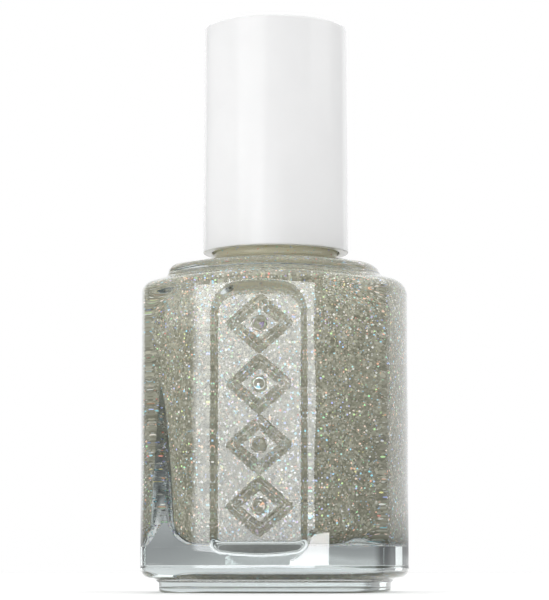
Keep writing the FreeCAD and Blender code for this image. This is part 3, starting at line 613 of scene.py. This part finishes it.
# ---------------------------------------------------------------- shader building blocks
def new_material(name):
    """Fresh material: (material, its nodes, its links, its main shader)."""
    material = bpy.data.materials.new(name)
    material.use_nodes = True
    nodes = material.node_tree.nodes
    return material, nodes, material.node_tree.links, nodes["Principled BSDF"]


def noise(nodes, links, scale, detail=3.0):
    """Noise in the piece's own space, with scale as features per millimetre."""
    place = nodes.new("ShaderNodeTexCoord")
    pattern = nodes.new("ShaderNodeTexNoise")
    pattern.inputs["Scale"].default_value = scale / MM
    pattern.inputs["Detail"].default_value = detail
    links.new(place.outputs["Object"], pattern.inputs["Vector"])
    return pattern.outputs["Fac"]


def spread(nodes, links, source, low, high):
    """Map a 0 to 1 pattern onto a range."""
    ranged = nodes.new("ShaderNodeMapRange")
    ranged.inputs["To Min"].default_value = low
    ranged.inputs["To Max"].default_value = high
    links.new(source, ranged.inputs["Value"])
    return ranged.outputs["Result"]


def ramp(nodes, links, source, stops):
    """Colour ramp over (place, colour) stops."""
    made = nodes.new("ShaderNodeValToRGB")
    elements = made.color_ramp.elements
    while len(elements) < len(stops):
        elements.new(0.5)
    for element, (place, colour) in zip(elements, stops):
        element.position = place
        element.color = (*colour, 1)
    links.new(source, made.inputs["Fac"])
    return made.outputs["Color"]


def bump(nodes, links, source, shader, depth):
    """Fine relief on a shader, depth in millimetres."""
    made = nodes.new("ShaderNodeBump")
    made.inputs["Distance"].default_value = depth * MM
    made.inputs["Strength"].default_value = 1.0
    links.new(source, made.inputs["Height"])
    links.new(made.outputs["Normal"], shader.inputs["Normal"])


def blend_colours(nodes, links, share, first, second, kind="MIX"):
    """Mix two colours; each may be a plain colour or another node's output."""
    made = nodes.new("ShaderNodeMix")
    made.data_type, made.blend_type = "RGBA", kind
    for socket, value in ((made.inputs["Factor"], share), (made.inputs[6], first), (made.inputs[7], second)):
        if isinstance(value, bpy.types.NodeSocket):
            links.new(value, socket)
        else:
            socket.default_value = value if isinstance(value, float) else (*value, 1)
    return made.outputs[2]


def cells(nodes, links, size):
    """Random cells about this many millimetres wide: (random colour, distance from the middle)."""
    place = nodes.new("ShaderNodeTexCoord")
    made = nodes.new("ShaderNodeTexVoronoi")
    made.inputs["Scale"].default_value = 1 / (size * MM)
    links.new(place.outputs["Object"], made.inputs["Vector"])
    split = nodes.new("ShaderNodeSeparateColor")
    links.new(made.outputs["Color"], split.inputs["Color"])
    return split.outputs, made.outputs["Distance"]


def below(nodes, links, source, limit):
    """1 where the source is under the limit."""
    made = nodes.new("ShaderNodeMath")
    made.operation = "LESS_THAN"
    made.inputs[1].default_value = limit
    links.new(source, made.inputs[0])
    return made.outputs[0]


def both(nodes, links, first, second):
    """Product of two shares."""
    made = nodes.new("ShaderNodeMath")
    made.operation = "MULTIPLY"
    links.new(first, made.inputs[0])
    links.new(second, made.inputs[1])
    return made.outputs[0]


def height_share(nodes, links, low, high):
    """0 at the low height and 1 at the high one, in millimetres."""
    place = nodes.new("ShaderNodeTexCoord")
    split = nodes.new("ShaderNodeSeparateXYZ")
    links.new(place.outputs["Object"], split.inputs["Vector"])
    rise = spread(nodes, links, split.outputs["Z"], 0.0, 1.0)
    rise.node.inputs["From Min"].default_value = low * MM
    rise.node.inputs["From Max"].default_value = high * MM
    return rise


# ---------------------------------------------------------------- materials
def glass_material():
    """Clear bottle glass that lets lamps through to what it holds."""
    material, nodes, links, shader = new_material("bottle_glass")
    shader.inputs["Base Color"].default_value = (0.985, 0.995, 0.992, 1)
    shader.inputs["Transmission Weight"].default_value = 1.0
    shader.inputs["IOR"].default_value = GLASS_IOR
    links.new(spread(nodes, links, noise(nodes, links, 0.35), 0.0, 0.02), shader.inputs["Roughness"])
    path = nodes.new("ShaderNodeLightPath")
    clear = nodes.new("ShaderNodeBsdfTransparent")
    clear.inputs["Color"].default_value = (0.93, 0.94, 0.935, 1)
    mixed = nodes.new("ShaderNodeMixShader")
    links.new(path.outputs["Is Shadow Ray"], mixed.inputs["Fac"])
    links.new(shader.outputs["BSDF"], mixed.inputs[1])
    links.new(clear.outputs["BSDF"], mixed.inputs[2])
    links.new(mixed.outputs["Shader"], nodes["Material Output"].inputs["Surface"])
    tint = nodes.new("ShaderNodeVolumeAbsorption")
    tint.inputs["Color"].default_value = (0.82, 0.845, 0.843, 1)
    tint.inputs["Density"].default_value = 75.0
    links.new(tint.outputs["Volume"], nodes["Material Output"].inputs["Volume"])
    return material


def lacquer_with_painted_light(nodes, links):
    """Grey-beige lacquer crowded with dark and bright grains, with the glints of tiny holographic flakes
    painted in as sparkles, and painted lighter towards the top.
    """
    cloud = ramp(nodes, links, noise(nodes, links, 0.5), ((0.3, POLISH_DARK), (0.7, POLISH_LIGHT)))
    shade, _ = cells(nodes, links, GRAIN_SIZE)
    grain = ramp(nodes, links, shade["Blue"], GRAIN_TONES)
    crowd = spread(nodes, links, noise(nodes, links, 0.22, 1.0), 0.35, 1.0)
    grained = blend_colours(nodes, links, 1.0, cloud, grain, "MULTIPLY")
    colour = blend_colours(nodes, links, crowd, cloud, grained)
    # Painted light: lighter towards the top, as if lit more from above.
    rise = height_share(nodes, links, TOP_LIGHT_FROM, TOP_LIGHT_TO)
    painted_top_light = ramp(nodes, links, rise, ((0.0, (1, 1, 1)), (1.0, TOP_LIGHT_TONE)))
    colour = blend_colours(nodes, links, 1.0, colour, painted_top_light, "MULTIPLY")
    # Painted sparkles: the flakes' glints are painted into the colour.
    for size, share, glow in PAINTED_SPARKLES:
        shade, away = cells(nodes, links, size)
        glinting = below(nodes, links, shade["Red"], share)
        mask = both(nodes, links, glinting, below(nodes, links, away, PAINTED_SPARKLE_REACH))
        tints = [(place, tuple(channel * glow for channel in tint)) for place, tint in PAINTED_SPARKLE_TINTS]
        colour = blend_colours(nodes, links, mask, colour, ramp(nodes, links, shade["Green"], tints))
    return colour


def polish_material():
    """The fill: granular lacquer, painted paler and warmer in the throat as painted light, that mirrors
    where it is grazed.
    """
    material, nodes, links, shader = new_material("glitter_polish")
    # Painted light: the throat's paler, warmer tone stands in for light through the thin layer of polish.
    thin = height_share(nodes, links, THROAT_LIGHT_FROM, THROAT_LIGHT_TO)
    shade = blend_colours(nodes, links, thin, lacquer_with_painted_light(nodes, links), THROAT_LIGHT_TONE)
    links.new(shade, shader.inputs["Base Color"])
    shader.inputs["Specular IOR Level"].default_value = 0.0
    shader.inputs["Roughness"].default_value = 0.6
    meet = nodes.new("ShaderNodeFresnel")
    meet.inputs["IOR"].default_value = LACQUER_IOR / GLASS_IOR
    mirror = nodes.new("ShaderNodeBsdfGlossy")
    mirror.inputs["Roughness"].default_value = MIRROR_BLUR
    mixed = nodes.new("ShaderNodeMixShader")
    wetted = height_share(nodes, links, MIRROR_TOP, MIRROR_TOP - MIRROR_FADE)
    links.new(both(nodes, links, meet.outputs["Fac"], wetted), mixed.inputs["Fac"])
    links.new(shader.outputs["BSDF"], mixed.inputs[1])
    links.new(mirror.outputs["BSDF"], mixed.inputs[2])
    links.new(mixed.outputs["Shader"], nodes["Material Output"].inputs["Surface"])
    return material


def flake_material():
    """Holographic foil: every flake has its own tint."""
    material, nodes, links, shader = new_material("holographic_flakes")
    island = nodes.new("ShaderNodeNewGeometry").outputs["Random Per Island"]
    tint = ramp(nodes, links, island, FLAKE_TINTS)
    tint.node.color_ramp.interpolation = "CONSTANT"
    links.new(tint, shader.inputs["Base Color"])
    shader.inputs["Metallic"].default_value = 1.0
    shader.inputs["Roughness"].default_value = 0.35
    return material


def moulded_material(name, colour, rough, grain):
    """Moulded plastic: faint tone changes, an uneven gloss and a fine skin."""
    material, nodes, links, shader = new_material(name)
    darker = tuple(channel * 0.975 for channel in colour)
    tone = ramp(nodes, links, noise(nodes, links, 0.12), ((0.35, darker), (0.65, colour)))
    links.new(tone, shader.inputs["Base Color"])
    gloss = spread(nodes, links, noise(nodes, links, 0.8), rough * 0.8, rough * 1.2)
    links.new(gloss, shader.inputs["Roughness"])
    bump(nodes, links, noise(nodes, links, 4.0), shader, grain)
    return material


def stem_material():
    """Milky satin stem, with a wet film of polish in streaks where it dips."""
    material, nodes, links, shader = new_material("stem_plastic")
    dipped = height_share(nodes, links, STEM_DIP_TOP, STEM_DIP_TOP - STEM_DIP_FADE)
    streaks = spread(nodes, links, noise(nodes, links, 0.7), -0.6, 1.2)
    film = both(nodes, links, dipped, streaks)
    film.node.use_clamp = True
    tones = ((0.35, (0.80, 0.80, 0.77)), (0.65, (0.84, 0.84, 0.82)))
    milky = ramp(nodes, links, noise(nodes, links, 0.2), tones)
    # The film takes the lacquer's colour, with its painted sparkles and painted top light.
    shade = blend_colours(nodes, links, film, milky, lacquer_with_painted_light(nodes, links))
    links.new(shade, shader.inputs["Base Color"])
    links.new(spread(nodes, links, film, 0.42, 0.12), shader.inputs["Roughness"])
    bump(nodes, links, noise(nodes, links, 3.0), shader, 0.003)
    return material


def filament_material():
    """Black nylon filaments, each its own tone, with polish clinging to the lower part."""
    material, nodes, links, shader = new_material("bristle_nylon")
    island = nodes.new("ShaderNodeNewGeometry").outputs["Random Per Island"]
    nylon = ramp(nodes, links, island, ((0.0, (0.018, 0.017, 0.017)), (1.0, (0.075, 0.068, 0.062))))
    dipped = height_share(nodes, links, STEM_LOW.z - 1.5, STEM_LOW.z - 6.5)
    patches = spread(nodes, links, noise(nodes, links, 1.1), -0.4, 1.5)
    film = both(nodes, links, dipped, patches)
    film.node.use_clamp = True
    # The film takes the lacquer's colour, with its painted sparkles and painted top light.
    shade = blend_colours(nodes, links, film, nylon, lacquer_with_painted_light(nodes, links))
    links.new(shade, shader.inputs["Base Color"])
    links.new(spread(nodes, links, film, 0.38, 0.15), shader.inputs["Roughness"])
    return material


def metal_material(name, colour, rough, stretch, depth):
    """Bare metal with fine marks, drawn out along one axis where stretch is large."""
    material, nodes, links, shader = new_material(name)
    place = nodes.new("ShaderNodeTexCoord")
    drawn = nodes.new("ShaderNodeMapping")
    drawn.inputs["Scale"].default_value = (1.0, 1.0, 1 / stretch)
    links.new(place.outputs["Object"], drawn.inputs["Vector"])
    texture = nodes.new("ShaderNodeTexNoise")
    texture.inputs["Scale"].default_value = 6.0 / MM
    links.new(drawn.outputs["Vector"], texture.inputs["Vector"])
    marks = texture.outputs["Fac"]
    shader.inputs["Metallic"].default_value = 1.0
    duller = tuple(channel * 0.85 for channel in colour)
    links.new(ramp(nodes, links, marks, ((0.3, duller), (0.7, colour))), shader.inputs["Base Color"])
    links.new(spread(nodes, links, marks, rough * 0.6, rough * 1.4), shader.inputs["Roughness"])
    bump(nodes, links, marks, shader, depth)
    return material


def paper_material():
    """Blank white paper below; the adhesive side above, against the glass, is grey, partly its own dull tone
    and partly painted shade for the dim light under the bottle.
    """
    material, nodes, links, shader = new_material("label_paper")
    fibres = noise(nodes, links, 2.2, 8.0)
    paper = ramp(nodes, links, fibres, ((0.35, (0.80, 0.79, 0.76)), (0.65, (0.88, 0.88, 0.86))))
    # Painted shade: the upper side is darkened for the shade under the bottle, over the adhesive's own dull
    # tone.
    glue_and_shade = ramp(nodes, links, fibres, ((0.35, (0.40, 0.41, 0.40)), (0.65, (0.50, 0.51, 0.50))))
    split = nodes.new("ShaderNodeSeparateXYZ")
    links.new(nodes.new("ShaderNodeNewGeometry").outputs["Normal"], split.inputs["Vector"])
    faces_down = below(nodes, links, split.outputs["Z"], 0.5)
    links.new(blend_colours(nodes, links, faces_down, glue_and_shade, paper), shader.inputs["Base Color"])
    shader.inputs["Roughness"].default_value = 0.8
    bump(nodes, links, fibres, shader, 0.01)
    return material


def plain_floor():
    """Pale matt floor, as wide as the studio."""
    material, nodes, links, shader = new_material("studio_floor")
    shader.inputs["Base Color"].default_value = (0.93, 0.93, 0.93, 1)
    shader.inputs["Roughness"].default_value = 0.7
    bpy.ops.mesh.primitive_circle_add(vertices=96, radius=0.7, fill_type="NGON")
    floor = bpy.context.object
    floor.name = "studio_floor"
    floor.data.materials.append(material)


# ---------------------------------------------------------------- camera, lamps, surroundings
def make_camera():
    """Low camera, a little to the right of the front, tilted up at the bottle."""
    turn, tilt = math.radians(7.3), math.radians(6.43)
    away, height = 297.0, 3.4
    squint = math.radians(0.03)
    data = bpy.data.cameras.new("camera")
    data.lens = LENS
    data.sensor_width = SENSOR
    data.clip_start = 0.01
    camera = bpy.data.objects.new("camera", data)
    bpy.context.scene.collection.objects.link(camera)
    camera.location = (away * math.sin(turn) * MM, -away * math.cos(turn) * MM, height * MM)
    camera.rotation_euler = (math.pi / 2 + tilt, 0, turn + squint)
    bpy.context.scene.camera = camera


def area(name, azimuth, elevation, away, size, brightness, aim=25.0, colour=(1, 1, 1), seen_by="all"):
    """Soft lamp facing the bottle's axis at the height aim.

    The azimuth is measured from the front towards +X. Distances and sizes are in metres, the aim
    in millimetres. seen_by picks the rays that the lamp acts on: all, gloss, matt or glass.
    """
    width, height = size
    data = bpy.data.lights.new(name, "AREA")
    data.shape = "RECTANGLE"
    data.size, data.size_y = width, height
    data.energy = brightness * width * height * math.pi
    data.color = colour
    lamp = bpy.data.objects.new(name, data)
    bpy.context.scene.collection.objects.link(lamp)
    a, e = math.radians(azimuth), math.radians(elevation)
    lamp.location = (away * math.sin(a) * math.cos(e), -away * math.cos(a) * math.cos(e), away * math.sin(e))
    toward = Vector((0, 0, aim * MM)) - lamp.location
    lamp.rotation_euler = toward.to_track_quat("-Z", "Y").to_euler()
    lamp.visible_camera = False
    lamp.visible_diffuse = seen_by in ("all", "matt")
    lamp.visible_glossy = seen_by in ("all", "gloss")
    lamp.visible_transmission = seen_by != "matt"
    return lamp


def soften_end(lamp, share):
    """Let a lamp fade in over the first share of its width."""
    lamp.data.use_nodes = True
    nodes, links = lamp.data.node_tree.nodes, lamp.data.node_tree.links
    split = nodes.new("ShaderNodeSeparateXYZ")
    links.new(nodes.new("ShaderNodeNewGeometry").outputs["Parametric"], split.inputs["Vector"])
    fade = spread(nodes, links, split.outputs["X"], 0.0, 1.0)
    fade.node.inputs["From Max"].default_value = share
    fade.node.interpolation_type = "SMOOTHSTEP"
    links.new(fade, nodes["Emission"].inputs["Strength"])


def make_lamps():
    """Studio lamps, tuned for the photograph's angle."""
    front = area("front_softbox", azimuth=-9.9, elevation=6.6, away=0.5, size=(0.45, 0.095),
                 brightness=7.2, aim=17, colour=(0.94, 0.96, 1.0), seen_by="gloss")
    soften_end(front, 0.085)
    area("front_fill", azimuth=-12, elevation=9, away=0.6, size=(0.6, 0.3), brightness=0.7, seen_by="matt")
    area("low_glint", azimuth=12.5, elevation=0.66, away=0.5, size=(0.13, 0.0065), brightness=14.0, aim=5)
    area("left_softbox", azimuth=-33, elevation=27, away=0.6, size=(0.475, 0.40), brightness=1.5, aim=30)
    area("left_fill", azimuth=-80, elevation=2, away=0.13, size=(0.1, 0.05), brightness=2.3, aim=16,
         seen_by="matt")
    area("right_softbox", azimuth=85, elevation=38, away=0.6, size=(0.45, 0.45), brightness=1.15, aim=30)
    area("top_softbox", azimuth=180, elevation=75, away=1.1, size=(2.2, 2.2), brightness=1.15)
    area("back_left_strip", azimuth=-115, elevation=8, away=0.6, size=(0.12, 0.4), brightness=1.4, aim=20,
         seen_by="glass")
    area("back_right_strip", azimuth=128, elevation=8, away=0.6, size=(0.05, 0.4), brightness=3.0, aim=20,
         seen_by="glass")


def make_world():
    """Pale surroundings: white behind, greyer in front and to the sides, graded at the horizon."""
    world = bpy.data.worlds.new("studio")
    bpy.context.scene.world = world
    world.use_nodes = True
    nodes, links = world.node_tree.nodes, world.node_tree.links
    place = nodes.new("ShaderNodeTexCoord")
    split = nodes.new("ShaderNodeSeparateXYZ")
    links.new(place.outputs["Generated"], split.inputs["Vector"])
    back = spread(nodes, links, split.outputs["Y"], 0.0, 1.0)
    back.node.inputs["From Min"].default_value = -1.0
    around = ramp(nodes, links, back, (
        (0.0, (0.34, 0.34, 0.345)), (0.10, (0.36, 0.36, 0.36)), (0.875, (0.40, 0.40, 0.405)),
        (0.915, (1.02, 1.03, 1.04))))
    horizon = ramp(nodes, links, split.outputs["Z"], (
        (0.0, (0.70, 0.70, 0.70)), (0.0028, (0.58, 0.58, 0.58)), (0.0055, (0.38, 0.38, 0.38)),
        (0.011, (0.50, 0.50, 0.51)), (0.03, (0.9, 0.9, 0.91)), (0.2, (1, 1, 1))))
    graded = blend_colours(nodes, links, 1.0, around, horizon, "MULTIPLY")
    path = nodes.new("ShaderNodeLightPath")
    seen = blend_colours(nodes, links, path.outputs["Is Camera Ray"], graded, (1, 1, 1))
    links.new(seen, nodes["Background"].inputs["Color"])
    nodes["Background"].inputs["Strength"].default_value = 1.0


# ---------------------------------------------------------------- build
make_camera()
make_world()
plain_floor()
make_lamps()
bpy.context.scene.view_settings.view_transform = "Standard"

fine = columns(0.16, side_steps=26, corner_steps=13)
glass = skin("bottle_glass", glass_rings(fine), WELL_DEPTH, CHAMBER_FLOOR)
glass.data.materials.append(glass_material())
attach(glass, "bottle")
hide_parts("glass_bottle")

coarse = columns(0.4, side_steps=40, corner_steps=33)
fill = chamber_rings(coarse, POLISH_OVERLAP, FILL_LEVEL) + brush_way_rings(outline(CHAMBER, 0, coarse))
polish = skin("glitter_polish", fill, CHAMBER_FLOOR - POLISH_OVERLAP, WAY_LOW)
polish.data.materials.append(polish_material())
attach(polish, "bottle")
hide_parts("polish_fill")

flakes = glitter(polish, FLAKE_COUNT)
flakes.data.materials.append(flake_material())
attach(flakes, "bottle")

filaments = tuft(FILAMENT_COUNT)
filaments.data.materials.append(filament_material())
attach(filaments, "brush")
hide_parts("brush_bristles")

label = label_disc()
label.data.materials.append(paper_material())
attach(label, "bottle")
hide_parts("base_label")

# These pieces keep their CAD meshes.
FINISHES = {
    "outer_cap": moulded_material("cap_plastic", (0.82, 0.82, 0.82), rough=0.15, grain=0.0015),
    "inner_cap": moulded_material("closure_plastic", (0.80, 0.80, 0.78), rough=0.38, grain=0.004),
    "brush_stem": stem_material(),
    "brush_staple": metal_material("staple_metal", (0.62, 0.61, 0.60), rough=0.28, stretch=12.0,
                                   depth=0.002),
    "mixing_balls": metal_material("ball_steel", (0.76, 0.76, 0.77), rough=0.10, stretch=1.0,
                                   depth=0.0006),
}
for node_name, finish in FINISHES.items():
    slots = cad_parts[node_name].data.materials
    slots.clear()
    slots.append(finish)
